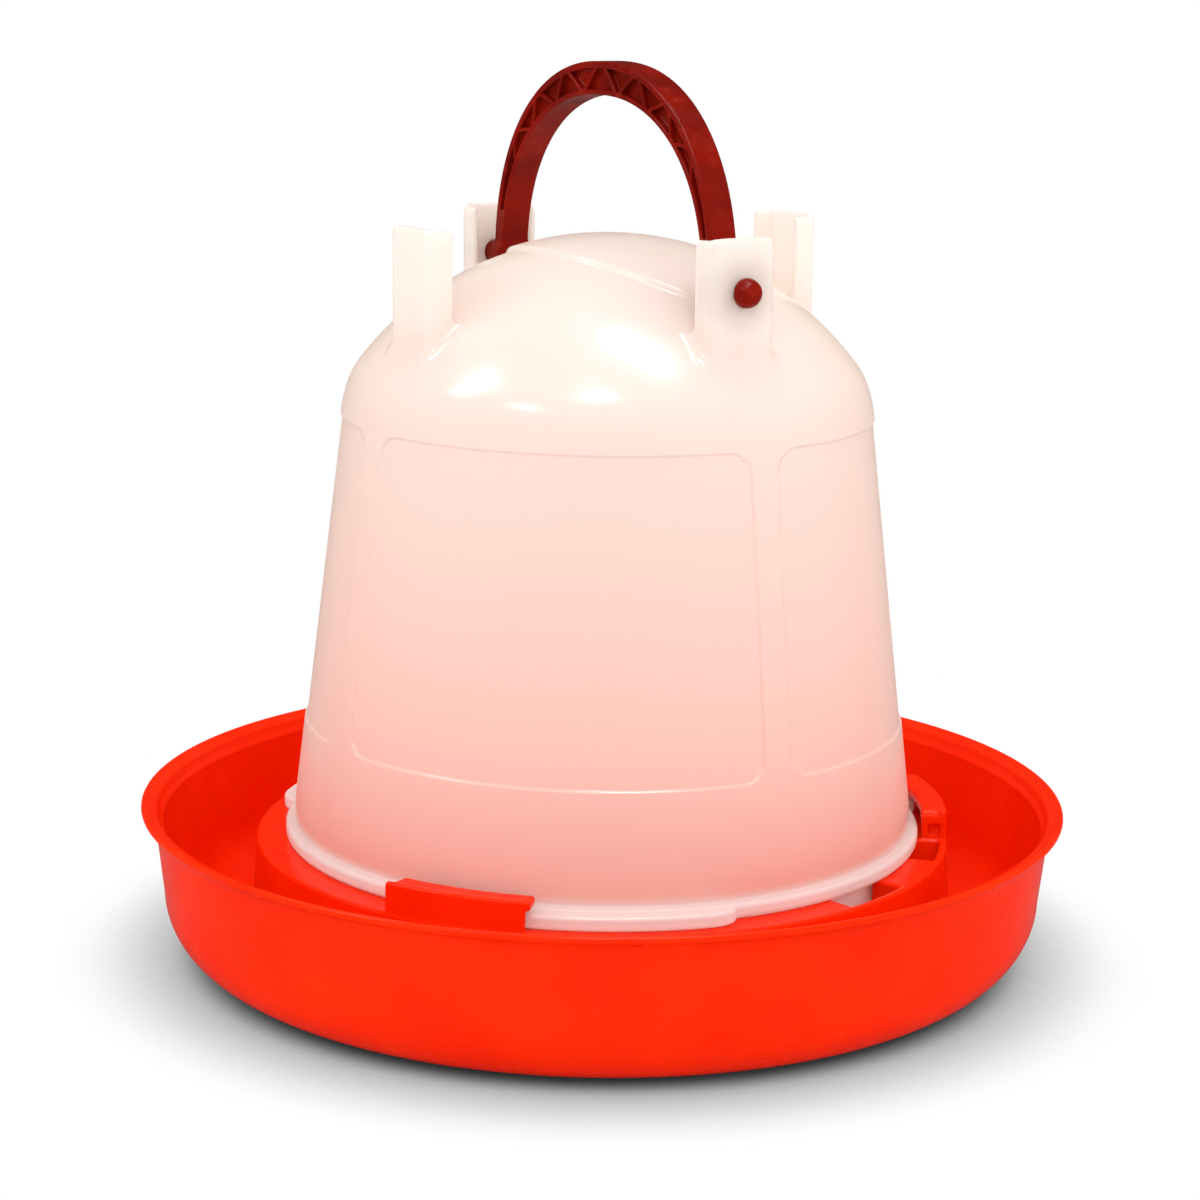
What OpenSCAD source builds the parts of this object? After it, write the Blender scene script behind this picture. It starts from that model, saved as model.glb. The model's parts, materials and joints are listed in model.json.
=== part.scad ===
// Poultry drinker: a round drinking tray, an upturned fount (the water
// reservoir) that locks into it by a bayonet, and a swinging carry handle.
// Millimetres, +Z up. The origin is the centre of the tray's standing face.
// Azimuths are in degrees from -Y towards +X. The handle's pivot axis is along Y.

/* [Tray] */
// Outer diameter over the tray's lip
tray_d = 300; // [300:1:306]
// Height of the tray's lip above the floor
tray_h = 51.4; // [50:0.2:56]
// Wall thickness of the tray
tray_wall = 2.5; // [2:0.1:2.8]
// Outer radius of the raised ring that carries the fount, at its top
ring_r = 113; // [113:0.5:114]
// Height of the ring's flat top
ring_h = 39; // [38:0.5:40]

/* [Bayonet] */
// Number of hooks, and of tabs that turn under them
bayonet_count = 3; // [2,3]
// Azimuth where the first hook starts, at its closed end
hook_start = 51.7; // [50:0.1:54]
// Angle that one hook spans
hook_span = 24.4; // [20:0.1:26]
// Height of a hook above the ring's top
hook_h = 9.5; // [9:0.1:11]
// Azimuth of the middle of the first tab
tab_mid = 88.2; // [86:0.1:90]
// Angle that one tab spans
tab_span = 43; // [36:0.5:45]
// Thickness of a tab
tab_t = 4.4; // [3.5:0.1:4.8]

/* [Fount] */
// Outer radius of the fount's wall just above its flange
fount_base_r = 101.2; // [100:0.1:101.4]
// Radius lost for each millimetre of height
fount_taper = 0.121; // [0.115:0.001:0.125]
// Wall thickness of the fount
fount_wall = 2.2; // [1.8:0.1:2.6]
// Radius of the spherical dome
dome_r = 100; // [98:0.5:102]
// Height of the top of the dome
dome_top = 232.5; // [231:0.5:233]
// Height of the top of the four feet
foot_top = 238.5; // [237:0.5:241]
// Width of one foot
foot_w = 25; // [24:0.5:27]
// Radius of the outer face of the feet
foot_r = 73; // [73:0.1:73.4]

/* [Handle] */
// Height of the handle's pivot axis
pivot_z = 222.3; // [222:0.1:223]
// Height of the handle's arch above the pivot
arch_h = 65.2; // [62:0.1:65.4]
// Half width of the handle at the pivot
arch_w = 62.6; // [61:0.1:62.8]
// Width of the handle's strap, seen from the side
strap_w = 10; // [9:0.1:10.4]
// Radius of the pegs that turn in the feet
peg_r = 3.52; // [3.4:0.01:3.58]

/* [Hidden] */
$fn = 96;
eps = 0.01;

// Tray
lip_r = tray_d / 2;
lip_flare = 4.5;
lip_drop = 6;
tray_corner_r = 23;
corner_step = 10;
tray_wall_taper = 2.5;
tray_rim_r = lip_r - lip_flare;
tray_foot_r = tray_rim_r - tray_wall_taper;
pan_gap = 1.5;

// Ring and bayonet
bayonet_step = 360 / bayonet_count;
ring_in_r = 100.2;
ring_core_in = ring_in_r + tray_wall;
ring_core_out = ring_r - tray_wall;
ring_draft = 2.5;
core_top = ring_h - tray_wall;
bowl_in_r = ring_r - tray_wall / 2;
pan_r = ring_in_r + tray_wall / 2;
sill_z = pan_gap + tray_wall + 0.5;
notch_start = 10.2;
notch_end = 24;
port_h = 20;
pocket_start = 39.9;
pocket_end = hook_start - 0.5;
pocket_z = 30;
core_rib = 1.4;
hook_in_r = 104.6;
hook_out_r = ring_r - 0.2;
hook_wall_r = hook_out_r - 2.2;
hook_step = 0.2;
hook_arm_t = 3;
hook_end = 1.8;
hook_lead = 0.8;
hook_chamfer = 1.2;
hook_core_z = 1.8;
hook_core_h = 3.2;

// Fount
lift = 0.1;
flange_r = 103.5;
skirt_r = 99;
skirt_z = 26;
flange_z = ring_h + lift;
flange_top = flange_z + tab_t + 0.5;
tab_r = 109;
tab_end = 5.5;
tab_step = 0.5;
dome_z = dome_top - dome_r;
shoulder_soft = 2;
shoulder_z0 = 158;
shoulder_z1 = 206;
shoulder_steps = 14;
dome_steps = 14;
panel_z0 = 78;
panel_z1 = 177;
panel_depth = 0.6;
rib_w = 8.6;
crest_half_w = 27;
crest_half_l = 56;
crest_h = 1.5;
foot_t = 8.7;
foot_wall = 2.5;
foot_base_z = 196;
foot_round = 4;

// Handle
peg_clear = 0.08;
peg_side = 0.3;
arch_full = 2.17;
inner_h = arch_h - 10.4;
inner_w = arch_w - 5.4;
arch_steps = 48;
rim_out = 2.2;
rim_in = 1.7;
web_recess = 2.2;
web_end = 12;
brace_w = 1.3;
brace_count = 14;
brace_from = 28;
leg_end_r = 6.5;
head_r = 4.5;
head_out = 1;

function wall_r(z, inset) = fount_base_r - fount_taper * (z - flange_top) - inset;
function sphere_r(z, inset) = sqrt(max(0, pow(dome_r - inset, 2) - pow(z - dome_z, 2)));
function soft_min(a, b) = (a + b - sqrt(pow(a - b, 2) + pow(shoulder_soft, 2))) / 2;
function fount_r(z, inset) = soft_min(wall_r(z, inset), sphere_r(z, inset));

// Points up the tapered wall, round the shoulder and over the dome to the axis
function fount_side(z0, inset) =
    let (a0 = asin((shoulder_z1 - dome_z) / (dome_r - inset)))
    concat(
        [[wall_r(z0, inset), z0]],
        [for (i = [0 : shoulder_steps])
            let (z = shoulder_z0 + i * (shoulder_z1 - shoulder_z0) / shoulder_steps)
            [fount_r(z, inset), z]],
        [for (i = [1 : dome_steps])
            let (a = a0 + i * (90 - a0) / dome_steps)
            [(dome_r - inset) * cos(a), dome_z + (dome_r - inset) * sin(a)]]);

// A point of the handle's arch: a superellipse of half width w and height h
function arch_pt(w, h, a) =
    [w * sign(cos(a)) * pow(abs(cos(a)), 2 / arch_full), h * pow(sin(a), 2 / arch_full)];

// A block that spans azimuths a0 to a1, radii r0 to r1 and heights z0 to z1
module sector(r0, r1, z0, z1, a0, a1) {
    rotate([0, 0, a0 - 90])
        rotate_extrude(angle = a1 - a0)
            translate([r0, z0])
                square([r1 - r0, z1 - z0]);
}

module repeat_bayonet() {
    for (i = [0 : bayonet_count - 1])
        rotate([0, 0, i * bayonet_step])
            children();
}

module repeat_feet() {
    for (i = [0 : 3])
        rotate([0, 0, i * 90])
            children();
}

// Rounded bottom corner, wall and flared lip, with the trough's floor
module tray_bowl() {
    corner_x = tray_foot_r - tray_corner_r;
    in_r = tray_corner_r - tray_wall;
    rotate_extrude()
        polygon(concat(
            [[bowl_in_r, 0], [corner_x, 0]],
            [for (a = [corner_step - 90 : corner_step : 0])
                [corner_x + tray_corner_r * cos(a), tray_corner_r + tray_corner_r * sin(a)]],
            [[tray_rim_r, tray_h - lip_drop],
                [tray_rim_r + lip_flare * 0.3, tray_h - lip_drop * 0.5],
                [lip_r, tray_h - tray_wall * 0.6],
                [lip_r, tray_h],
                [tray_rim_r - tray_wall * 0.4, tray_h],
                [tray_rim_r - tray_wall, tray_h - lip_drop]],
            [for (a = [0 : -corner_step : -90])
                [corner_x + in_r * cos(a), tray_corner_r + in_r * sin(a)]],
            [[bowl_in_r, tray_wall]]));
}

// Floor under the fount, held clear of the ground
module tray_pan() {
    translate([0, 0, pan_gap])
        cylinder(r = pan_r, h = tray_wall);
}

// Raised ring, hollow below. Its top has a pocket, and a notch that lets water
// down through the ring and out to the trough by a port
module tray_ring() {
    difference() {
        rotate_extrude()
            polygon([[ring_in_r, 0], [ring_r + ring_draft, 0], [ring_r, ring_h], [ring_in_r, ring_h]]);
        sector(ring_core_in, ring_core_out, -1, core_top,
            pocket_end + core_rib, 360 + notch_start - core_rib);
        sector(ring_core_in, ring_core_out, -1, core_top, notch_end + core_rib, pocket_start - core_rib);
        sector(ring_core_in, ring_core_out, -1, pocket_z - tray_wall,
            pocket_start + core_rib, pocket_end - core_rib);
        sector(ring_in_r - 1, ring_core_out, sill_z, ring_h + 1, notch_start, notch_end);
        sector(ring_core_out - 1, ring_r + ring_draft + 1, sill_z, port_h, notch_start + 1, notch_end - 1);
        sector(ring_in_r - 1, ring_core_out, pocket_z, ring_h + 1, pocket_start, pocket_end);
    }
}

// Hook: an outer wall, a closed end and an arm that reaches in over the tab
module hook() {
    a1 = hook_start + hook_span;
    top = ring_h + hook_h;
    root = ring_h - tray_wall / 2;
    sector(hook_wall_r, hook_out_r, root, top, hook_start, a1 - hook_lead);
    difference() {
        sector(hook_in_r, hook_wall_r + 1, root, top - hook_chamfer, hook_start, hook_start + hook_end);
        sector(hook_in_r + tray_wall, hook_wall_r + 2,
            ring_h + hook_core_z, ring_h + hook_core_z + hook_core_h,
            hook_start - 1, hook_start + hook_end / 2);
    }
    sector(hook_in_r, hook_wall_r + 1, top - hook_arm_t, top - hook_step, hook_start + hook_end / 2, a1);
}

module tray() {
    color("orangered")
        union() {
            tray_bowl();
            tray_pan();
            tray_ring();
            repeat_bayonet()
                hook();
        }
}

// Slightly raised lens on top of the dome, from one handle foot to the other
module dome_crest() {
    arc_r = (pow(crest_half_l, 2) + pow(crest_half_w, 2)) / (2 * crest_half_w);
    intersection() {
        translate([0, 0, dome_z])
            sphere(r = dome_r + crest_h);
        translate([0, 0, foot_base_z])
            linear_extrude(height = foot_top - foot_base_z)
                intersection() {
                    translate([crest_half_w - arc_r, 0])
                        circle(r = arc_r);
                    translate([arc_r - crest_half_w, 0])
                        circle(r = arc_r);
                }
    }
}

module fount_outside() {
    rotate_extrude()
        polygon(concat(
            [[0, skirt_z], [skirt_r, skirt_z], [skirt_r, flange_z], [flange_r, flange_z],
                [flange_r, flange_top - 1], [flange_r - 1, flange_top]],
            fount_side(flange_top, 0)));
}

module fount_inside() {
    skirt_in = skirt_r - fount_wall;
    rotate_extrude()
        polygon(concat(
            [[0, skirt_z - 1], [skirt_in, skirt_z - 1], [skirt_in, flange_z]],
            fount_side(flange_top, fount_wall)));
}

// Shallow panels round the wall, parted by four upright ribs
module panel_recess() {
    difference() {
        rotate_extrude()
            polygon([[wall_r(panel_z0, panel_depth), panel_z0], [wall_r(panel_z0, -1), panel_z0],
                [wall_r(panel_z1, -1), panel_z1], [wall_r(panel_z1, panel_depth), panel_z1]]);
        repeat_feet()
            translate([-rib_w / 2, -flange_r, panel_z0 - 1])
                cube([rib_w, flange_r, panel_z1 - panel_z0 + 2]);
    }
}

// Foot: a wall bent round three sides of a pocket that opens towards the axis
module foot() {
    h = foot_top - foot_base_z;
    half = foot_w / 2;
    difference() {
        intersection() {
            translate([0, 0, foot_base_z])
                linear_extrude(height = h)
                    union() {
                        translate([-half, -foot_r + foot_round])
                            square([foot_w, foot_t - foot_round]);
                        translate([-half + foot_round, -foot_r])
                            square([foot_w - 2 * foot_round, foot_t]);
                        for (s = [-1, 1])
                            translate([s * (half - foot_round), -foot_r + foot_round])
                                circle(r = foot_round);
                    }
            rotate([90, 0, 0])
                linear_extrude(height = foot_r + 1)
                    union() {
                        translate([-half, foot_base_z])
                            square([foot_w, h - foot_round]);
                        translate([-half + foot_round, foot_base_z])
                            square([foot_w - 2 * foot_round, h]);
                        for (s = [-1, 1])
                            translate([s * (half - foot_round), foot_top - foot_round])
                                circle(r = foot_round);
                    }
        }
        translate([-half + foot_wall, -foot_r + foot_wall, foot_base_z - 1])
            cube([foot_w - 2 * foot_wall, foot_t, h + 2]);
    }
}

// Radius of a tab's edge at azimuth a: full height, falling away in a round end
function tab_edge(a) =
    let (s = min(1, (tab_span / 2 - abs(a - tab_mid)) / tab_end))
    flange_r - 1 + (tab_r - flange_r + 1) * sqrt(max(0, 1 - pow(1 - s, 2)));

module tab() {
    a0 = tab_mid - tab_span / 2;
    a1 = tab_mid + tab_span / 2;
    translate([0, 0, flange_z])
        linear_extrude(height = tab_t)
            polygon(concat(
                [for (a = [a0 : tab_step : a1]) tab_edge(a) * [sin(a), -cos(a)]],
                [for (a = [a1 : -2 * tab_step : a0]) (flange_r - 2) * [sin(a), -cos(a)]]));
}

module fount() {
    color("mistyrose", 0.7)
        difference() {
            union() {
                difference() {
                    fount_outside();
                    panel_recess();
                }
                dome_crest();
                repeat_feet()
                    foot();
                repeat_bayonet()
                    tab();
            }
            fount_inside();
            for (s = [0, 180])
                rotate([0, 0, s])
                    translate([0, -foot_r + 2 * foot_wall, pivot_z])
                        rotate([90, 0, 0])
                            cylinder(r = peg_r + peg_clear, h = 3 * foot_wall);
        }
}

// Flat outline of the arch, inset from its outer and inner edges
module arch_outline(out_inset, in_inset, a0, a1) {
    polygon(concat(
        [for (i = [0 : arch_steps])
            arch_pt(arch_w - out_inset, arch_h - out_inset, a0 + i * (a1 - a0) / arch_steps)],
        [for (i = [arch_steps : -1 : 0])
            arch_pt(inner_w + in_inset, inner_h + in_inset, a0 + i * (a1 - a0) / arch_steps)]));
}

// Zigzag braces across the recess in the side of the strap
module braces() {
    step = (180 - 2 * brace_from) / brace_count;
    half = brace_w / 2 / arch_h * 180 / PI;
    for (i = [0 : brace_count - 1]) {
        low = brace_from + (i + i % 2) * step;
        high = brace_from + (i + 1 - i % 2) * step;
        polygon([
            arch_pt(inner_w + eps, inner_h + eps, low - half),
            arch_pt(inner_w + eps, inner_h + eps, low + half),
            arch_pt(arch_w - eps, arch_h - eps, high + half),
            arch_pt(arch_w - eps, arch_h - eps, high - half)]);
    }
}

// Round leg end with a peg along +Y, and the ball head that snaps through the foot
module peg() {
    head_y = foot_r + peg_side;
    translate([0, inner_w, pivot_z])
        rotate([-90, 0, 0])
            union() {
                cylinder(r = leg_end_r, h = arch_w - inner_w);
                cylinder(r = peg_r, h = head_y + head_out - inner_w);
                difference() {
                    translate([0, 0, head_y + head_out - inner_w])
                        sphere(r = head_r);
                    translate([0, 0, head_y - inner_w - head_r])
                        cylinder(r = 2 * head_r, h = head_r);
                }
            }
}

module handle() {
    color("darkred")
        union() {
            translate([0, 0, pivot_z])
                rotate([90, 0, 90])
                    difference() {
                        linear_extrude(height = strap_w, center = true)
                            arch_outline(0, 0, 0, 180);
                        for (s = [-1, 1])
                            translate([0, 0, s * (strap_w / 2 - web_recess / 2 + 0.5)])
                                linear_extrude(height = web_recess + 1, center = true)
                                    difference() {
                                        arch_outline(rim_out, rim_in, web_end, 180 - web_end);
                                        braces();
                                    }
                    }
            for (s = [0, 180])
                rotate([0, 0, s])
                    peg();
        }
}

tray();
fount();
handle();
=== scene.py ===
import json
import math

import bpy
import numpy as np
from mathutils import Matrix, Vector


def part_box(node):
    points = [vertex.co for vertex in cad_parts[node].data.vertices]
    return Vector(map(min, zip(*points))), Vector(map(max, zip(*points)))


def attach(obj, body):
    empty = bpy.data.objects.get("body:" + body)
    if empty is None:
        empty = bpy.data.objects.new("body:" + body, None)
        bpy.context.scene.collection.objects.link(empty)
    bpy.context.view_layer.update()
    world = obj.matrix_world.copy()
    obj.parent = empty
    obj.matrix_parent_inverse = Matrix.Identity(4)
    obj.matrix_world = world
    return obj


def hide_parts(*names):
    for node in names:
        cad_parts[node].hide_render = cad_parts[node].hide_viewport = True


# Looks of a poultry drinker: a translucent fount on a red tray, with a swinging handle.
# Each piece is one closed mesh of the zero surface of a distance field, in millimetres in the
# frame of the CAD model. Azimuths are in degrees from -Y towards +X.

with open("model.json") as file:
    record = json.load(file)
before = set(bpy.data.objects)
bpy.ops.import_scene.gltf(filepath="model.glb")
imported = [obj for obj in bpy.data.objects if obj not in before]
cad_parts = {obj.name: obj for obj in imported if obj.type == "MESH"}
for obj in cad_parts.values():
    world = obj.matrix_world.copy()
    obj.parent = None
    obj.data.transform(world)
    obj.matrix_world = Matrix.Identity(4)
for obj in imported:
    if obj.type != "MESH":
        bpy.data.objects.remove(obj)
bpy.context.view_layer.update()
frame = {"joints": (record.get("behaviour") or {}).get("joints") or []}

MM = 0.001


def corners(node):
    """A node's lowest and highest corner in millimetres."""
    low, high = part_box(node)
    return low / MM, high / MM


JOINTS = {joint["name"]: Vector(joint["pos_m"]) / MM for joint in frame["joints"]}
TRAY_HIGH = corners("tray")[1]
FOUNT_LOW, FOUNT_HIGH = corners("fount")
HANDLE_HIGH = corners("handle")[1]

# Tray
LIP_R = TRAY_HIGH.x
LIP_Z = TRAY_HIGH.z
LIP_FLARE = 4.5
LIP_DROP = 6.0
LIP_KNEE_OUT = 0.5
LIP_KNEE_DROP = 2.6
WALL_TAPER = 2.5
CORNER_R = 23.0
TRAY_WALL = 2.5
PAN_GAP = 1.5
RING_IN = 100.2
RING_OUT = 113.0
RING_DRAFT = 2.5
RING_Z = JOINTS["fount_twist"].z
BAYONET_STEP = 120.0
NOTCH = (10.2, 24.0)
SILL_Z = PAN_GAP + TRAY_WALL + 0.5
PORT_Z = 20.0
POCKET = (39.9, 51.2)
POCKET_Z = 30.0
HOOK = (51.7, 76.1)
HOOK_IN = 104.6
HOOK_OUT = 112.8
HOOK_WALL = 2.2
HOOK_TOP = RING_Z + 9.5
HOOK_ARM = 3.0
HOOK_STEP = 0.2
HOOK_LEAD = 0.8
HOOK_END = 1.8
HOOK_CHAMFER = 1.2
HOOK_RECESS = (1.8, 5.0)
CORE_RIB = 1.4
ABOVE_RING = RING_Z + 9

# Fount
SKIRT_R = 99.0
SKIRT_Z = FOUNT_LOW.z
FLANGE_R = 103.5
FLANGE_Z = RING_Z + 0.1
FLANGE_TOP = FLANGE_Z + 4.9
TAB = (66.7, 109.7)
TAB_R = 109.0
TAB_T = 4.4
TAB_END = 5.5
FOUNT_WALL = 2.2
BASE_R = 101.2
TAPER = 0.121
DOME_R = 100.0
DOME_Z = 132.5
SHOULDER_LOW = 158.0
SHOULDER_SOFT = 4.0
PANEL = (78.0, 177.0)
PANEL_DEPTH = 0.7
PANEL_ROUND = 8.0
PANEL_EDGE = 0.8
RIB_W = 8.6
CREST_HALF_W = 27.0
CREST_HALF_L = 56.0
CREST_H = 1.5
CREST_EDGE = 1.1
FOOT_TOP = FOUNT_HIGH.z
FOOT_R = 73.0
FOOT_T = 8.7
FOOT_W = 25.0
FOOT_WALL = 2.5
FOOT_ROUND = 4.0
FOOT_BASE = 196.0
FOOT_FILLET = 4.0
HOLE_R = 3.75

# Handle
PIVOT_Z = JOINTS["handle_swing"].z
ARCH_H = HANDLE_HIGH.z - PIVOT_Z
ARCH_W = 62.6
INNER_H = ARCH_H - 10.4
INNER_W = ARCH_W - 5.4
ARCH_POWER = 2.17
STRAP_W = 10.0
RIM_OUT = 2.2
RIM_IN = 1.7
WEB_RECESS = 2.2
WEB_END = 14.9
BRACE_W = 1.3
BRACE_COUNT = 14
BRACE_FROM = 28.0
LEG_END_R = 6.5
PEG_R = 3.52
HEAD_R = 4.5
HEAD_Y = 73.3
HEAD_END = HANDLE_HIGH.y


# ---------------------------------------------------------------- distance fields


def band(value, low, high):
    """Distance outside the slab between low and high, negative inside it."""
    return np.abs(value - (low + high) / 2) - (high - low) / 2


def block(edge, *bands):
    """Where all the bands meet, with outer edges rounded to the radius edge."""
    over = [b + edge for b in bands]
    outside = sum(np.maximum(v, 0) ** 2 for v in over) ** 0.5
    inside = over[0]
    for v in over[1:]:
        inside = np.maximum(inside, v)
    return outside + np.minimum(inside, 0) - edge


def join(soft, first, *others):
    """Union whose creases are filled over the width soft."""
    for other in others:
        near = np.maximum(soft - np.abs(first - other), 0)
        first = np.minimum(first, other) - near * near / (4 * soft)
    return first


def cut(soft, solid, *tools):
    """Solid less the tools, with the cut's edges eased over the width soft."""
    return -join(soft, -solid, *tools)


def ramp(value):
    """Smooth step from 0 to 1 as value goes from 0 to 1."""
    t = np.clip(value, 0, 1)
    return t * t * (3 - 2 * t)


def stroke(r, z, start, end, half):
    """Distance from a line of half width half between two points of the profile."""
    (r0, z0), (r1, z1) = start, end
    t = np.clip(((r - r0) * (r1 - r0) + (z - z0) * (z1 - z0)) / ((r1 - r0) ** 2 + (z1 - z0) ** 2), 0, 1)
    return np.hypot(r - r0 - t * (r1 - r0), z - z0 - t * (z1 - z0)) - half


def off_arc(phi, low, high, every):
    """Degrees outside azimuths low to high, negative inside, where they repeat at the given step."""
    return np.abs((phi - (low + high) / 2 + every / 2) % every - every / 2) - (high - low) / 2


def arc(phi, r, low, high, every=360.0):
    """The same as a distance round the axis."""
    return np.radians(off_arc(phi, low, high, every)) * r


def bowl_field(r, z):
    """The tray's floor, rounded corner, wall and flared lip as strokes of its profile."""
    half = TRAY_WALL / 2
    rim = LIP_R - LIP_FLARE
    foot = rim - WALL_TAPER
    corner = foot - CORNER_R
    lip = half * 0.9
    wall_top = (rim - half, LIP_Z - LIP_DROP)
    knee = (rim + LIP_KNEE_OUT, LIP_Z - LIP_KNEE_DROP)
    turn = np.where((r > corner) & (z < CORNER_R),
                    np.abs(np.hypot(r - corner, z - CORNER_R) - CORNER_R + half) - half, LIP_R)
    floor = stroke(r, z, (RING_OUT - half, half), (corner, half), half)
    wall = stroke(r, z, (foot - half, CORNER_R), wall_top, half)
    flare = stroke(r, z, wall_top, knee, lip)
    edge = stroke(r, z, knee, (LIP_R - lip, LIP_Z - lip), lip)
    return join(0.6, np.minimum(np.minimum(turn, floor), wall), flare, edge)


def ring_field(phi, r, z):
    """The raised ring, hollow below, with a notch, a pocket and the notch's port to the trough."""
    ring_outer = RING_OUT + RING_DRAFT * (1 - z / RING_Z)
    ring = block(0.9, band(r, RING_IN, ring_outer), band(z, 0, RING_Z))
    inner = RING_OUT - TRAY_WALL
    hollow = band(r, RING_IN + TRAY_WALL, inner)
    under_top = z - RING_Z + TRAY_WALL
    under_pocket = z - POCKET_Z + TRAY_WALL
    open_top = band(r, RING_IN - 3, inner)
    past_pocket = arc(phi, r, POCKET[1] + CORE_RIB, 360 + NOTCH[0] - CORE_RIB)
    notch_to_pocket = arc(phi, r, NOTCH[1] + CORE_RIB, POCKET[0] - CORE_RIB)
    within_pocket = arc(phi, r, POCKET[0] + CORE_RIB, POCKET[1] - CORE_RIB)
    ring = cut(
        0.5, ring,
        block(0.5, hollow, under_top, past_pocket),
        block(0.5, hollow, under_top, notch_to_pocket),
        block(0.5, hollow, under_pocket, within_pocket))
    port_depth = band(r, inner - 1, RING_OUT + RING_DRAFT + 3)
    return cut(
        0.9, ring,
        block(0.8, open_top, band(z, SILL_Z, ABOVE_RING), arc(phi, r, *NOTCH)),
        block(0.8, open_top, band(z, POCKET_Z, ABOVE_RING), arc(phi, r, *POCKET)),
        block(0.8, port_depth, band(z, SILL_Z, PORT_Z), arc(phi, r, NOTCH[0] + 1, NOTCH[1] - 1)))


def hook_field(phi, r, z):
    """The bayonet hooks: an outer wall, a closed end with a recess, and an arm over the tab."""
    root = RING_Z - TRAY_WALL / 2
    start, end = HOOK
    mid_end = start + HOOK_END / 2
    wall = block(0.7, band(r, HOOK_OUT - HOOK_WALL, HOOK_OUT), band(z, root, HOOK_TOP),
                 arc(phi, r, start, end - HOOK_LEAD, BAYONET_STEP))
    stop = block(0.6, band(r, HOOK_IN, HOOK_OUT - 1), band(z, root, HOOK_TOP - HOOK_CHAMFER),
                 arc(phi, r, start, start + HOOK_END, BAYONET_STEP))
    recess_z = band(z, RING_Z + HOOK_RECESS[0], RING_Z + HOOK_RECESS[1])
    recess = block(0.4, band(r, HOOK_IN + TRAY_WALL, HOOK_OUT), recess_z,
                   arc(phi, r, start - 1, mid_end, BAYONET_STEP))
    arm_z = band(z, HOOK_TOP - HOOK_ARM, HOOK_TOP - HOOK_STEP)
    arm = block(0.8, band(r, HOOK_IN, HOOK_OUT - 0.5), arm_z, arc(phi, r, mid_end, end, BAYONET_STEP))
    return join(0.8, wall, cut(0.4, stop, recess), arm)


def tray_field(x, y, z):
    """The tray: bowl, floor under the fount, ring and hooks, cut off flat where it stands."""
    r = np.hypot(x, y)
    phi = np.degrees(np.arctan2(x, -y))
    pan = block(0.6, r - RING_IN - TRAY_WALL / 2, band(z, PAN_GAP, PAN_GAP + TRAY_WALL))
    ring = ring_field(phi, r, z)
    hook = hook_field(phi, r, z)
    return np.maximum(join(0.7, bowl_field(r, z), pan, ring, hook), -z)


def fount_body(r, z):
    """The fount's outer face: a tapered wall under a spherical dome.

    The dome's sphere is opened out below the shoulder, where only the wall counts."""
    slope = math.cos(math.atan(TAPER))
    wall = (r - BASE_R + TAPER * (z - FLANGE_TOP)) * slope
    below = np.maximum(SHOULDER_LOW - z, 0)
    dome = np.hypot(r, z - DOME_Z) - DOME_R - 0.3 * below
    return -join(SHOULDER_SOFT, -wall, -dome)


def foot_field(x, y, z):
    """The four feet: walls bent round three sides of a pocket that is open inwards and upwards."""
    out = np.maximum(np.abs(x), np.abs(y))
    side = np.minimum(np.abs(x), np.abs(y))
    half = FOOT_W / 2
    plan = block(FOOT_ROUND, side - half, out - FOOT_R)
    face = block(FOOT_ROUND, side - half, z - FOOT_TOP)
    solid = -join(1.6, -plan, -face)
    solid = np.maximum(np.maximum(solid, FOOT_R - FOOT_T - out), FOOT_BASE - z)
    pocket = block(1.5, side - half + FOOT_WALL, out - FOOT_R + FOOT_WALL)
    return cut(1.2, solid, pocket)


def panel_depth(phi, r, z):
    """Depth of the recessed panels between the four upright ribs."""
    off_rib = np.radians(np.abs((phi + 45) % 90 - 45)) * r - RIB_W / 2
    in_panel = -block(PANEL_ROUND, -off_rib, band(z, *PANEL))
    return PANEL_DEPTH * ramp(in_panel / PANEL_EDGE)


def crest_height(x, y, z):
    """Height of the raised lens on the dome, whose edges are two arcs that meet on the Y axis."""
    arc_r = (CREST_HALF_L ** 2 + CREST_HALF_W ** 2) / (2 * CREST_HALF_W)
    in_crest = arc_r - np.hypot(np.abs(x) + arc_r - CREST_HALF_W, y)
    return CREST_H * ramp(np.minimum(in_crest, z - FOOT_BASE) / CREST_EDGE)


def tab_field(phi, r, z):
    """The bayonet tabs on the flange, with round ends."""
    in_tab = np.clip(-off_arc(phi, *TAB, BAYONET_STEP) / TAB_END, 0, 1)
    tab_r = FLANGE_R - 1 + (TAB_R - FLANGE_R + 1) * np.sqrt(1 - (1 - in_tab) ** 2)
    return block(0.9, band(r, 90, tab_r), band(z, FLANGE_Z, FLANGE_Z + TAB_T))


def fount_field(x, y, z):
    """The fount: a hollow shell with its skirt, flange, tabs, feet and two peg holes."""
    r = np.hypot(x, y)
    phi = np.degrees(np.arctan2(x, -y))
    body = fount_body(r, z)
    shell = np.maximum(body + panel_depth(phi, r, z) - crest_height(x, y, z), FLANGE_Z - z)
    skirt = block(0.6, r - SKIRT_R, band(z, SKIRT_Z, FLANGE_TOP - 1))
    flange = block(1.6, r - FLANGE_R, band(z, FLANGE_Z, FLANGE_TOP))
    under_flange = np.minimum(FLANGE_Z - z, r - SKIRT_R)
    outer = np.maximum(join(0.8, shell, skirt, flange, tab_field(phi, r, z)), under_flange)
    outer = join(FOOT_FILLET, outer, foot_field(x, y, z))
    inner_wall = np.maximum(body + FOUNT_WALL, FLANGE_Z - z)
    inner = join(1.0, inner_wall, np.maximum(r - SKIRT_R + FOUNT_WALL, z - FLANGE_TOP))
    hole = np.maximum(np.hypot(x, z - PIVOT_Z) - HOLE_R, FOOT_R - FOOT_T - 1 - np.abs(y))
    return cut(0.5, outer, inner, hole)


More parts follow.
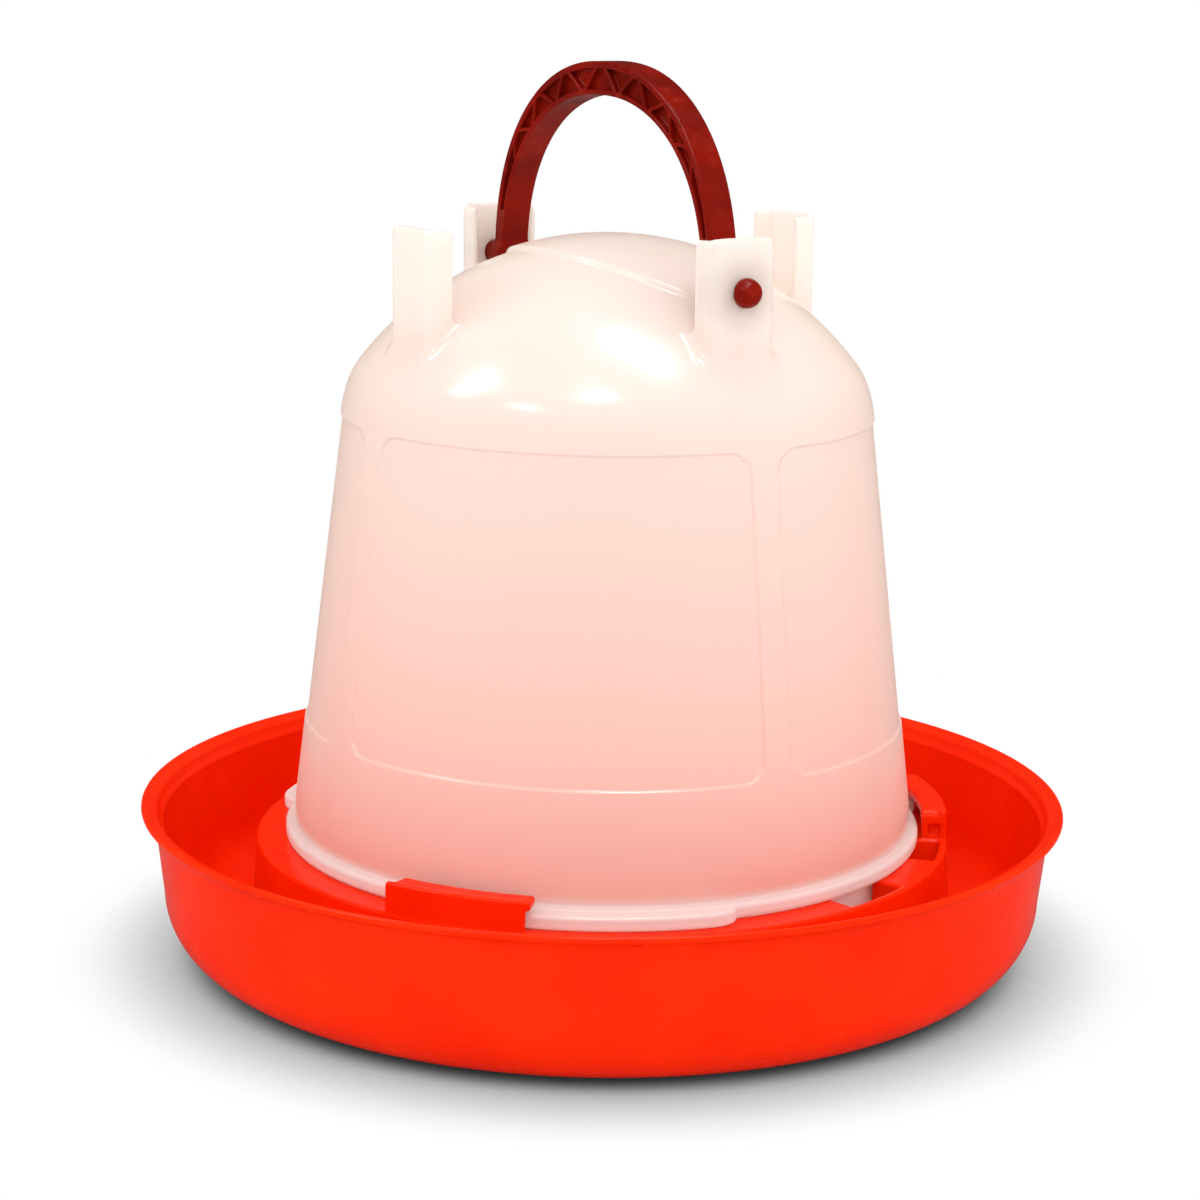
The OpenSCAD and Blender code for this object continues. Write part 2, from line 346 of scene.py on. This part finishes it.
def arch_gap(across, up, half_w, half_h):
    """Distance outside the superellipse of half width half_w and half height half_h."""
    u = np.abs(across) / half_w
    v = np.maximum(up, 0.001) / half_h
    size = (u ** ARCH_POWER + v ** ARCH_POWER) ** (1 / ARCH_POWER)
    slope = np.hypot(u ** (ARCH_POWER - 1) / half_w, v ** (ARCH_POWER - 1) / half_h)
    return (size - 1) * size ** (ARCH_POWER - 1) / np.maximum(slope, 1e-6)


def brace_field(y, up, gap_in, gap_out):
    """Zigzag braces that cross the strap from its inner to its outer rim."""
    step = (180 - 2 * BRACE_FROM) / BRACE_COUNT
    power = ARCH_POWER / 2
    turn = np.degrees(np.arctan2((np.maximum(up, 0) / ARCH_H) ** power, (np.abs(y) / ARCH_W) ** power))
    turn = np.where(y < 0, 180 - turn, turn)
    count = (turn - BRACE_FROM) / step
    zigzag = 1 - np.abs(count % 2 - 1)
    depth = gap_in - gap_out
    lean = depth / (math.radians(step) * ARCH_H)
    off = np.abs(gap_in - depth * zigzag) / np.hypot(1, lean) - BRACE_W / 2
    return np.maximum(off, 10 * band(count, 0, BRACE_COUNT))


def handle_field(x, y, z):
    """The handle: a braced arch with round leg ends, pegs and the balls that hold them in."""
    up = z - PIVOT_Z
    wide = np.abs(x)
    out = np.abs(y)
    gap_out = arch_gap(y, up, ARCH_W, ARCH_H)
    gap_in = arch_gap(y, up, INNER_W, INNER_H)
    strap = block(0.7, gap_out, -gap_in, wide - STRAP_W / 2)
    web = block(0.4, gap_out + RIM_OUT, RIM_IN - gap_in, STRAP_W / 2 - WEB_RECESS - wide, WEB_END - up)
    web = cut(0.4, web, brace_field(y, up, gap_in, gap_out))
    strap = np.maximum(cut(0.4, strap, web), -up)
    spoke = np.hypot(x, up)
    leg_end = block(0.8, spoke - LEG_END_R, band(out, INNER_W, ARCH_W))
    shaft = block(0.2, spoke - PEG_R, band(out, INNER_W + 1, HEAD_Y + 1))
    ball = np.sqrt(spoke ** 2 + (out - HEAD_END + HEAD_R) ** 2) - HEAD_R
    head = block(0.3, ball, HEAD_Y - out)
    return join(0.5, join(1.0, strap, leg_end), shaft, head)


# ---------------------------------------------------------------- meshes

# How often a vertex is drawn to the surface, and the part of a cell its slope is measured over
REFINE_ROUNDS = 4
NUDGE = 0.02
# Half the distance in millimetres that a normal is measured over
NORMAL_STEP = 0.04


def polar(a, b, c):
    """Azimuth in degrees, radius and height to x, y, z."""
    turn = np.radians(a)
    return b * np.sin(turn), -b * np.cos(turn), c


def straight(a, b, c):
    """Grid values that are x, y and z already."""
    return a, b, c


def steps(*spans):
    """Grid lines: each span is where it ends and the spacing up to there, after the first value."""
    lines = [np.array([spans[0]], float)]
    for end, spacing in spans[1:]:
        start = lines[-1][-1]
        count = max(1, round((end - start) / spacing))
        lines.append(np.linspace(start, end, count + 1)[1:])
    return np.concatenate(lines)


def sample(field, place, axes):
    """The field on the whole grid, a slice at a time."""
    a, b, c = axes
    grid = np.empty((len(a), len(b), len(c)), np.float32)
    for i, value in enumerate(a):
        x, y, z = place(value, b[:, None], c[None, :])
        grid[i] = field(x + 0 * z, y + 0 * z, z + 0 * x)
    return grid


def surface_net(field, place, axes, turning):
    """Vertices, quads and normals of the field's zero surface: one vertex in each cell it crosses.

    A grid that turns is closed round its first axis, and its cells on the axis share one vertex."""
    grid = sample(field, place, axes)
    a, b, c = (np.asarray(axis, float) for axis in axes)
    if turning:
        grid = np.concatenate([grid, grid[:1]])
        a = np.append(a, a[0] + 360)
    solid = grid < 0
    shape = tuple(n - 1 for n in grid.shape)
    corner_ids = [(i, j, k) for i in (0, 1) for j in (0, 1) for k in (0, 1)]

    def view(data, i, j, k):
        return data[i:i + shape[0], j:j + shape[1], k:k + shape[2]]

    filled = sum(view(solid, *corner).astype(np.int8) for corner in corner_ids)
    cells = np.argwhere((filled > 0) & (filled < 8))
    number = np.full(shape, -1, np.int64)
    number[tuple(cells.T)] = np.arange(len(cells))
    values = {corner: view(grid, *corner)[tuple(cells.T)].astype(float) for corner in corner_ids}

    total = np.zeros((len(cells), 3))
    count = np.zeros(len(cells))
    for first in corner_ids:
        for axis in range(3):
            if first[axis]:
                continue
            second = tuple(1 if n == axis else v for n, v in enumerate(first))
            f0, f1 = values[first], values[second]
            crossed = (f0 < 0) != (f1 < 0)
            share = np.where(crossed, f0 / np.where(crossed, f0 - f1, 1), 0)
            point = np.zeros((len(cells), 3)) + np.array(first)
            point[:, axis] = share
            total += point * crossed[:, None]
            count += crossed
    inside = total / count[:, None]

    low = np.stack([axis[cells[:, n]] for n, axis in enumerate((a, b, c))], 1)
    size = np.stack([axis[cells[:, n] + 1] for n, axis in enumerate((a, b, c))], 1) - low
    at_axis = (cells[:, 1] == 0) if turning else np.zeros(len(cells), bool)
    inside[at_axis, 1] = 0

    def at(where):
        return field(*place(*(low + where * size).T))

    for _ in range(REFINE_ROUNDS):
        here = at(inside)
        slope = np.empty_like(inside)
        for axis in range(3):
            moved = inside.copy()
            moved[:, axis] += NUDGE
            slope[:, axis] = (at(moved) - here) / NUDGE
        slope[at_axis, :2] = 0
        inside -= slope * (here / np.maximum((slope ** 2).sum(1), 1e-9))[:, None]
        inside = np.clip(inside, 0, 1)
        inside[at_axis, 1] = 0
    points = np.stack(place(*(low + inside * size).T), 1)

    if turning:
        shared = cells[at_axis]
        number[shared[:, 0], 0, shared[:, 2]] = number[0, 0, shared[:, 2]]
    quads = []
    for axis in range(3):
        other = [n for n in range(3) if n != axis]
        reach = [grid.shape[n] - (1 if n == axis else 0) for n in range(3)]
        starts = [0 if n == axis or (turning and n == 0) else 1 for n in range(3)]
        stops = [reach[n] if n == axis else grid.shape[n] - 1 for n in range(3)]
        pick = tuple(slice(lo, hi) for lo, hi in zip(starts, stops))
        ahead = [int(n == axis) for n in range(3)]
        following = tuple(slice(lo + n, hi + n) for lo, hi, n in zip(starts, stops, ahead))
        change = solid[pick].astype(np.int8) - solid[following].astype(np.int8)
        at_edge = np.argwhere(change != 0)
        rising = change[tuple(at_edge.T)] > 0
        at_edge = at_edge + starts
        ring = []
        for back in ((1, 1), (0, 1), (0, 0), (1, 0)):
            near = at_edge.copy()
            near[:, other[0]] -= back[0]
            near[:, other[1]] -= back[1]
            if turning:
                near[:, 0] %= shape[0]
            ring.append(number[tuple(near.T)])
        face = np.stack(ring, 1)
        if (axis == 1) != turning:
            rising = ~rising
        face[~rising] = face[~rising][:, ::-1]
        quads.append(face)
    faces = np.concatenate(quads)

    normals = np.stack([
        field(*(points + unit).T) - field(*(points - unit).T) for unit in NORMAL_STEP * np.eye(3)], 1)
    normals /= np.maximum(np.linalg.norm(normals, axis=1), 1e-9)[:, None]
    return points, faces, normals


def mesh_piece(name, field, place, axes, turning, body, node, material):
    """One finished piece that stands for a CAD node."""
    points, faces, normals = surface_net(field, place, axes, turning)
    used = np.unique(faces)
    renumber = np.full(len(points), -1)
    renumber[used] = np.arange(len(used))
    faces = renumber[faces]
    points, normals = points[used], normals[used]
    rings = []
    for face in faces.tolist():
        ring = [v for n, v in enumerate(face) if v != face[n - 1]]
        if len(ring) > 2:
            rings.append(ring)
    mesh = bpy.data.meshes.new(name)
    mesh.from_pydata((points * MM).tolist(), [], rings)
    mesh.validate()
    mesh.shade_smooth()
    mesh.normals_split_custom_set_from_vertices(normals.tolist())
    mesh.materials.append(material)
    piece = bpy.data.objects.new(name, mesh)
    bpy.context.scene.collection.objects.link(piece)
    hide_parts(node)
    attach(piece, body)
    return piece


# ---------------------------------------------------------------- materials


class Nodes:
    """A material's node tree, built a node at a time."""

    def __init__(self, name):
        self.material = bpy.data.materials.new(name)
        self.material.use_nodes = True
        self.tree = self.material.node_tree
        self.tree.nodes.clear()
        self.place = self.add("ShaderNodeTexCoord").outputs["Object"]

    def add(self, kind, **settings):
        node = self.tree.nodes.new(kind)
        for key, value in settings.items():
            setattr(node, key, value)
        return node

    def feed(self, socket, value):
        if isinstance(value, bpy.types.NodeSocket):
            self.tree.links.new(value, socket)
        else:
            socket.default_value = value

    def noise(self, scale, detail, stretch=None):
        node = self.add("ShaderNodeTexNoise")
        self.feed(node.inputs["Scale"], scale)
        self.feed(node.inputs["Detail"], detail)
        where = self.place
        if stretch:
            mapping = self.add("ShaderNodeMapping")
            self.feed(mapping.inputs["Vector"], self.place)
            self.feed(mapping.inputs["Scale"], stretch)
            where = mapping.outputs["Vector"]
        self.feed(node.inputs["Vector"], where)
        return node.outputs["Fac"]

    def remap(self, value, low, high, to_low=0.0, to_high=1.0):
        node = self.add("ShaderNodeMapRange")
        self.feed(node.inputs["Value"], value)
        ends = {"From Min": low, "From Max": high, "To Min": to_low, "To Max": to_high}
        for key, number in ends.items():
            self.feed(node.inputs[key], number)
        return node.outputs["Result"]

    def mix(self, share, first, second, blend="MIX"):
        node = self.add("ShaderNodeMix", data_type="RGBA", blend_type=blend)
        self.feed(node.inputs["Factor"], share)
        self.feed(node.inputs["A"], first)
        self.feed(node.inputs["B"], second)
        return node.outputs["Result"]

    def maths(self, operation, first, second=0.0):
        node = self.add("ShaderNodeMath", operation=operation)
        self.feed(node.inputs[0], first)
        self.feed(node.inputs[1], second)
        return node.outputs["Value"]

    def specks(self, scale, size, share):
        """Small round spots, 1 inside a spot, in a share of the cells of the given scale."""
        cells = self.add("ShaderNodeTexVoronoi")
        self.feed(cells.inputs["Vector"], self.place)
        self.feed(cells.inputs["Scale"], scale)
        spot = self.remap(cells.outputs["Distance"], size, size * 0.6)
        split = self.add("ShaderNodeSeparateColor")
        self.feed(split.inputs["Color"], cells.outputs["Color"])
        return self.maths("MULTIPLY", spot, self.maths("LESS_THAN", split.outputs["Red"], share))

    def bump(self, height, strength, distance):
        node = self.add("ShaderNodeBump")
        self.feed(node.inputs["Height"], height)
        self.feed(node.inputs["Strength"], strength)
        self.feed(node.inputs["Distance"], distance)
        return node.outputs["Normal"]

    def blend(self, share, first, second):
        """Mix of two shaders, with share of the second."""
        node = self.add("ShaderNodeMixShader")
        for socket, value in zip(node.inputs, (share, first, second)):
            self.feed(socket, value)
        return node.outputs["Shader"]

    def shader(self, **inputs):
        node = self.add("ShaderNodeBsdfPrincipled")
        for key, value in inputs.items():
            self.feed(node.inputs[key.replace("_", " ")], value)
        return node.outputs["BSDF"]

    def coordinates(self):
        """X, Y and Z in metres."""
        split = self.add("ShaderNodeSeparateXYZ")
        self.feed(split.inputs["Vector"], self.place)
        return split.outputs["X"], split.outputs["Y"], split.outputs["Z"]

    def height(self, low, high):
        """0 to 1 between two heights in millimetres."""
        return self.remap(self.coordinates()[2], low * MM, high * MM)

    def finish(self, surface):
        output = self.add("ShaderNodeOutputMaterial")
        self.feed(output.inputs["Surface"], surface)
        return self.material


def tray_material():
    """Orange-red glossy plastic, faintly mottled, with a little dust and upright scratches."""
    nodes = Nodes("tray_plastic")
    deep, bright, dusty = (0.86, 0.018, 0.0002, 1), (0.92, 0.024, 0.0004, 1), (1.0, 0.08, 0.02, 1)
    mottle = nodes.remap(nodes.noise(35, 4), 0.35, 0.65)
    colour = nodes.mix(mottle, deep, bright)
    dust = nodes.specks(260, 0.16, 0.06)
    colour = nodes.mix(nodes.maths("MULTIPLY", dust, 0.25), colour, dusty)
    scratch = nodes.remap(nodes.noise(220, 2, (1, 1, 14)), 0.62, 0.72)
    rough = nodes.remap(nodes.noise(120, 3), 0.3, 0.7, 0.16, 0.26)
    rough = nodes.maths("ADD", rough, nodes.maths("MULTIPLY", scratch, 0.10))
    normal = nodes.bump(nodes.noise(16, 2), 0.10, 0.0025)
    return nodes.finish(nodes.shader(
        Base_Color=colour, Roughness=rough, Normal=normal, Specular_IOR_Level=0.06))


def painted_peg_shadow(nodes):
    """Painted shadow, up to half, round the pivot axis where the handle's leg end would show dimly
    through a foot.
    """
    x, y, z = nodes.coordinates()
    above = nodes.maths("SUBTRACT", z, PIVOT_Z * MM)
    above_squared = nodes.maths("MULTIPLY", above, above)
    x_squared = nodes.maths("MULTIPLY", x, x)
    off_pivot = nodes.maths("SQRT", nodes.maths("ADD", above_squared, x_squared))
    far_out = nodes.maths("GREATER_THAN", nodes.maths("ABSOLUTE", y), FOOT_R * MM * 0.9)
    return nodes.maths("MULTIPLY", nodes.remap(off_pivot, 0.014, 0.003, 0.0, 0.5), far_out)


def fount_material():
    """Milky translucent plastic, with a painted red glow from the tray's light that grows towards its
    base and a painted pale sheen where it turns away.
    """
    nodes = Nodes("fount_plastic")
    flange, red_glow_base, wall = (1.0, 0.99, 0.97, 1), (1.0, 0.67, 0.59, 1), (1.0, 0.74, 0.66, 1)
    dome, painted_edge_sheen = (0.97, 0.92, 0.87, 1), (1.0, 0.93, 0.84, 1)
    cloudy, peg_shadow_tint, dirt = (1.0, 0.70, 0.62, 1), (0.62, 0.50, 0.44, 1), (0.25, 0.16, 0.12, 1)
    # Painted red glow: the cream plastic is tinted salmon low down, standing in for the tray's red
    # light shining through it. It fades to the dome's cream above, and the flange band is kept pale.
    low = nodes.mix(nodes.height(47, 84), red_glow_base, wall)
    low = nodes.mix(nodes.height(43, 47), flange, low)
    colour = nodes.mix(nodes.height(84, 225), low, dome)
    cloud = nodes.remap(nodes.noise(14, 3), 0.3, 0.7)
    colour = nodes.mix(nodes.maths("MULTIPLY", cloud, 0.10), colour, cloudy)
    facing = nodes.add("ShaderNodeLayerWeight")
    nodes.feed(facing.inputs["Blend"], 0.30)
    # Painted sheen: the colour is made paler towards the silhouette, where the surface turns away from
    # the camera.
    edge = nodes.remap(facing.outputs["Facing"], 0.40, 0.85, 0.0, 0.85)
    colour = nodes.mix(edge, colour, painted_edge_sheen)
    # Painted shadow of the handle's leg end, darkening each foot round its peg.
    colour = nodes.mix(painted_peg_shadow(nodes), colour, peg_shadow_tint)
    grit = nodes.specks(40, 0.014, 0.02)
    colour = nodes.mix(nodes.maths("MULTIPLY", grit, 0.8), colour, dirt)
    rough = nodes.remap(nodes.noise(60, 3), 0.3, 0.7, 0.15, 0.25)
    normal = nodes.bump(nodes.noise(22, 2), 0.12, 0.0020)
    solid = nodes.shader(
        Base_Color=colour, Roughness=rough, Normal=normal, Specular_IOR_Level=0.5)
    through = nodes.add("ShaderNodeBsdfTranslucent")
    nodes.feed(through.inputs["Color"], colour)
    milky = nodes.blend(0.35, solid, through.outputs["BSDF"])
    clear = nodes.add("ShaderNodeBsdfTransparent")
    nodes.feed(clear.inputs["Color"], (1.0, 0.95, 0.90, 1))
    clearness = nodes.remap(facing.outputs["Facing"], 0.40, 0.85, 0.16, 0.04)
    return nodes.finish(nodes.blend(clearness, milky, clear.outputs["BSDF"]))


def handle_material():
    """Dark red plastic, mottled, with paler worn patches."""
    nodes = Nodes("handle_plastic")
    deep, bright, worn = (0.14, 0.003, 0.0003, 1), (0.22, 0.005, 0.0006, 1), (0.42, 0.03, 0.012, 1)
    mottle = nodes.remap(nodes.noise(60, 4), 0.35, 0.65)
    colour = nodes.mix(mottle, deep, bright)
    wear = nodes.remap(nodes.noise(240, 3), 0.60, 0.72)
    colour = nodes.mix(nodes.maths("MULTIPLY", wear, 0.20), colour, worn)
    rough = nodes.remap(nodes.noise(150, 3), 0.3, 0.7, 0.22, 0.36)
    normal = nodes.bump(nodes.noise(60, 2), 0.12, 0.0010)
    return nodes.finish(nodes.shader(
        Base_Color=colour, Roughness=rough, Normal=normal, Specular_IOR_Level=0.09))


def floor_material():
    """Pale floor that the camera sees as white but for a painted soft shadow under the object, drawn
    from ambient occlusion.

    It shows dark in reflections, and lights the object as a pale grey floor does."""
    nodes = Nodes("floor")
    grey, paler, mirrored = (0.78, 0.78, 0.78, 1), (0.80, 0.80, 0.80, 1), (0.18, 0.18, 0.18, 1)
    grain = nodes.remap(nodes.noise(40, 2), 0.3, 0.7)
    diffuse = nodes.add("ShaderNodeBsdfDiffuse")
    path = nodes.add("ShaderNodeLightPath")
    pale = nodes.mix(grain, grey, paler)
    nodes.feed(diffuse.inputs["Color"], nodes.mix(path.outputs["Is Glossy Ray"], pale, mirrored))
    # Painted shadow: the emission the camera sees is darkened by ambient occlusion near the object, not
    # by light the lamps cast.
    near = nodes.add("ShaderNodeAmbientOcclusion", samples=12)
    nodes.feed(near.inputs["Distance"], 0.055)
    painted_floor_shadow = nodes.remap(near.outputs["AO"], 0.12, 0.80, 0.02, 1.0)
    shown = nodes.add("ShaderNodeEmission")
    nodes.feed(shown.inputs["Color"], (1, 1, 1, 1))
    nodes.feed(shown.inputs["Strength"], painted_floor_shadow)
    return nodes.finish(nodes.blend(
        path.outputs["Is Camera Ray"], diffuse.outputs["BSDF"], shown.outputs["Emission"]))


# ---------------------------------------------------------------- the object


def make_tray():
    """The grid is fine at the ring, the hooks and the wall, and coarse over the flat floors."""
    turn = np.arange(0, 360, 0.6)
    radii = steps(0, (96, 12), (98, 1), (116, 0.75), (128, 3), (151.5, 0.8))
    heights = steps(-1.1, (6.1, 0.8), (27, 2.6), (50.5, 0.8), (53, 0.7))
    return mesh_piece("tray_moulding", tray_field, polar, (turn, radii, heights), True,
                      "tray", "tray", tray_material())


def make_fount():
    """The grid is finest at the ribs' edges and at the panels' top and bottom edges."""
    quarter = steps(0, (1.9, 0.95), (3.4, 0.25), (86.6, 0.95), (88.1, 0.25), (90, 0.95))[:-1]
    turn = np.concatenate([quarter + 90 * n for n in range(4)])
    radii = steps(0, (92, 0.95), (110.6, 0.7))
    heights = steps(24.6, (46.1, 0.7), (75.8, 3.5), (80.2, 0.35), (166, 4), (175, 1), (179, 0.35),
                    (192, 1.6), (240.4, 0.8))
    return mesh_piece("fount_moulding", fount_field, polar, (turn, radii, heights), True,
                      "fount", "fount", fount_material())


def make_handle():
    """The grid is even, as the arch crosses it at every slope."""
    spacing = 0.45
    across = np.arange(-7.7, 7.9, spacing)
    reach = HEAD_END + 1
    along = np.arange(-reach, reach + spacing, spacing)
    heights = np.arange(PIVOT_Z - 7.8, HANDLE_HIGH.z + 1, spacing)
    return mesh_piece("handle_moulding", handle_field, straight, (across, along, heights), False,
                      "handle", "handle", handle_material())


make_tray()
make_fount()
make_handle()


# ---------------------------------------------------------------- floor, light and camera

CAMERA_AZIMUTH = -33.3
CAMERA_DISTANCE = 926.4
CAMERA_HEIGHT = 315.8
CAMERA_PITCH = math.degrees(0.213)
CAMERA_TURN = 0.10
CAMERA_ROLL = math.degrees(0.0138)
CAMERA_LENS = 87.66
SENSOR_WIDTH = 36.0
FLOOR_R = 4.0
FLOOR_SIDES = 96
MIDDLE = Vector((0, 0, 0.14))


def around(azimuth, elevation, distance):
    """A point at a direction from the object's middle, azimuth measured from the camera's."""
    a, e = math.radians(CAMERA_AZIMUTH + azimuth), math.radians(elevation)
    toward = Vector((math.sin(a) * math.cos(e), -math.cos(a) * math.cos(e), math.sin(e)))
    return MIDDLE + distance * toward


def soft_box(name, azimuth, elevation, distance, width, height, power, glint=False):
    """An area light on the object's middle.

    A glint shows in reflections and lights nothing else; the others never show in reflections."""
    light = bpy.data.lights.new(name, "AREA")
    light.shape = "RECTANGLE"
    light.size = width
    light.size_y = height
    light.energy = power
    lamp = bpy.data.objects.new(name, light)
    lamp.location = around(azimuth, elevation, distance)
    aim = MIDDLE - lamp.location
    lamp.rotation_euler = aim.to_track_quat("-Z", "Y").to_euler()
    lamp.visible_glossy = glint
    lamp.visible_diffuse = not glint
    lamp.visible_transmission = not glint
    bpy.context.scene.collection.objects.link(lamp)


def make_floor():
    """A disc under the object."""
    mesh = bpy.data.meshes.new("floor")
    points = [(FLOOR_R * math.cos(t), FLOOR_R * math.sin(t), 0)
              for t in (2 * math.pi * n / FLOOR_SIDES for n in range(FLOOR_SIDES))]
    mesh.from_pydata(points, [], [list(range(FLOOR_SIDES))])
    mesh.materials.append(floor_material())
    floor = bpy.data.objects.new("floor", mesh)
    bpy.context.scene.collection.objects.link(floor)


def make_world():
    """White surroundings that show less in reflections than they light the object."""
    world = bpy.data.worlds.new("studio")
    bpy.context.scene.world = world
    world.use_nodes = True
    tree = world.node_tree
    tree.nodes.clear()
    path = tree.nodes.new("ShaderNodeLightPath")
    mirrored = tree.nodes.new("ShaderNodeMapRange")
    mirrored.inputs["To Min"].default_value = 0.98
    mirrored.inputs["To Max"].default_value = 0.04
    tree.links.new(path.outputs["Is Glossy Ray"], mirrored.inputs["Value"])
    level = tree.nodes.new("ShaderNodeMapRange")
    tree.links.new(path.outputs["Is Camera Ray"], level.inputs["Value"])
    tree.links.new(mirrored.outputs["Result"], level.inputs["To Min"])
    level.inputs["To Max"].default_value = 1.0
    sky = tree.nodes.new("ShaderNodeBackground")
    sky.inputs["Color"].default_value = (1, 1, 1, 1)
    tree.links.new(level.outputs["Result"], sky.inputs["Strength"])
    output = tree.nodes.new("ShaderNodeOutputWorld")
    tree.links.new(sky.outputs["Background"], output.inputs["Surface"])


def make_camera():
    """A camera at the object's usual viewing angle, above the tray's lip and looking down on it."""
    camera = bpy.data.cameras.new("camera")
    camera.lens = CAMERA_LENS
    camera.sensor_width = SENSOR_WIDTH
    eye = bpy.data.objects.new("camera", camera)
    turn = math.radians(CAMERA_AZIMUTH)
    spot = Vector((math.sin(turn), -math.cos(turn), 0)) * CAMERA_DISTANCE
    spot.z = CAMERA_HEIGHT
    eye.matrix_world = (Matrix.Translation(spot * MM)
                        @ Matrix.Rotation(math.radians(CAMERA_AZIMUTH + CAMERA_TURN), 4, "Z")
                        @ Matrix.Rotation(math.radians(90 - CAMERA_PITCH), 4, "X")
                        @ Matrix.Rotation(math.radians(CAMERA_ROLL), 4, "Z"))
    bpy.context.scene.collection.objects.link(eye)
    bpy.context.scene.camera = eye


make_floor()
make_world()
make_camera()
soft_box("overhead", 180, 82, 1.3, 0.9, 0.9, 6.0)
soft_box("front_fill", 0, 35, 1.6, 0.8, 0.6, 6.0)
soft_box("right_fill", 80, 25, 1.6, 0.8, 0.6, 5.0)
soft_box("left_fill", -80, 25, 1.6, 0.8, 0.6, 4.0)
soft_box("window_left", -82, 49, 1.3, 0.12, 0.34, 7.0, glint=True)
soft_box("lamp_front", -5, 61, 1.4, 0.18, 0.17, 7.0, glint=True)
soft_box("lamp_top", 57, 80, 1.3, 0.14, 0.50, 9.0, glint=True)
soft_box("strip_low", -41, 42, 1.5, 0.26, 0.06, 3.0, glint=True)
bpy.context.scene.view_settings.view_transform = "Standard"
